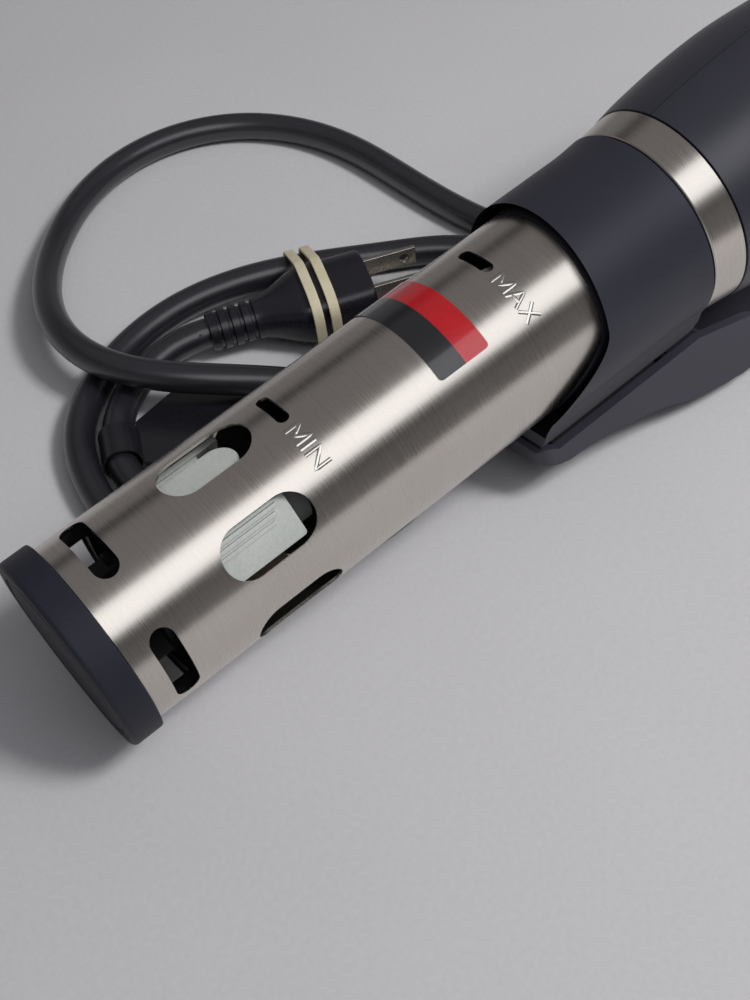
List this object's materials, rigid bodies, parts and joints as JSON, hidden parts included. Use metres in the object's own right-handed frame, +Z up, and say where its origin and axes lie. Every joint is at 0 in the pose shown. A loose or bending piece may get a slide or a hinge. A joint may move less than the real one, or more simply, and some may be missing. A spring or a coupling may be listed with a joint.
{
  "type": "sous vide circulator",
  "caption": "Immersion circulator for a cooking pot: steel sleeve with slots, twist-off end cap, spring clip, sloped display on the head, and a mains cord bundled beside it.",
  "frame": {"origin": "under the middle of the tool without its cord, on the surface that it lies on", "axes": "+Z up; +X along the tool from the end cap to the head, as seen from above; +Y to the side where the cord lies"},
  "size_m": [0.4147, 0.2251, 0.102],
  "materials": {
    "charcoal_plastic": "fine satin moulding",
    "black_plastic": "satin moulding",
    "button_plastic": "soft-touch moulding",
    "brushed_steel": "brushed round the sleeve",
    "inner_steel": "drawn",
    "pale_plastic": "satin moulding",
    "brass": "drawn",
    "copper_winding": "enamelled wire",
    "rubber": "matte",
    "cord_rubber": "satin",
    "circuit_board": "solder mask",
    "display_glass": "gloss",
    "aluminium": "extruded",
    "label_film": "semi-gloss film",
    "band_rubber": "matte"
  },
  "bodies": {
    "root": {"steel_sleeve": "brushed_steel", "outlet_cage": "black_plastic", "flow_guide": "pale_plastic", "lower_bush": "brass", "heating_element": "inner_steel", "heater_flange": "inner_steel", "flange_gasket": "rubber", "shaft_seal": "rubber", "temperature_probe": "inner_steel", "low_level_probe": "inner_steel", "high_level_probe": "inner_steel", "sleeve_label": "label_film", "clamp_collar": "charcoal_plastic", "fixed_jaw_pad": "rubber", "hinge_pin": "inner_steel", "trim_ring": "brushed_steel", "head_left_shell": "charcoal_plastic", "head_right_shell": "charcoal_plastic", "head_top_bezel": "charcoal_plastic", "display_window": "display_glass", "display_board": "circuit_board", "motor_mount": "aluminium", "motor_housing": "inner_steel", "motor_screw_1": "inner_steel", "motor_screw_2": "inner_steel", "power_board": "circuit_board", "heat_sink": "aluminium", "cord_gland": "rubber", "power_cord": "cord_rubber", "plug_body": "black_plastic", "plug_blade_left": "brass", "plug_blade_right": "brass", "plug_earth_pin": "brass", "cord_band": "band_rubber", "cord_tag": "black_plastic"},
    "cap": {"end_cap": "charcoal_plastic"},
    "lever": {"clip_lever": "charcoal_plastic", "lever_pad": "rubber", "torsion_spring": "inner_steel"},
    "rotor": {"impeller": "black_plastic", "drive_shaft": "inner_steel", "motor_rotor": "copper_winding", "cooling_fan": "black_plastic"},
    "minus": {"minus_button": "button_plastic"},
    "start": {"start_button": "button_plastic"},
    "plus": {"plus_button": "button_plastic"}
  },
  "joints": [
    {"name": "cap_twist", "type": "hinge", "parent": "root", "child": "cap", "pos_m": [-0.17413, 0, 0.02695], "axis": [0.9882, 0, 0.1534], "range_deg": [0, 30]},
    {"name": "lever_hinge", "type": "hinge", "parent": "root", "child": "lever", "pos_m": [0.02687, -0.00758, 0.01634], "axis": [-0.0277, -0.9836, 0.1784], "range_deg": [0, 18], "stiffness_Nm_per_rad": 1.6, "springref_deg": -28.65},
    {"name": "rotor_spin", "type": "hinge", "parent": "root", "child": "rotor", "pos_m": [-0.04567, 0, 0.04688], "axis": [0.9882, 0, 0.1534], "continuous": true},
    {"name": "minus_press", "type": "slide", "parent": "root", "child": "minus", "axis": [-0.5779, -0.1299, -0.8057], "range_m": [0, 0.0008], "stiffness_N_per_m": 500, "springref_m": -0.0006},
    {"name": "start_press", "type": "slide", "parent": "root", "child": "start", "axis": [-0.5779, -0.1299, -0.8057], "range_m": [0, 0.0008], "stiffness_N_per_m": 500, "springref_m": -0.0006},
    {"name": "plus_press", "type": "slide", "parent": "root", "child": "plus", "axis": [-0.5779, -0.1299, -0.8057], "range_m": [0, 0.0008], "stiffness_N_per_m": 500, "springref_m": -0.0006}
  ]
}
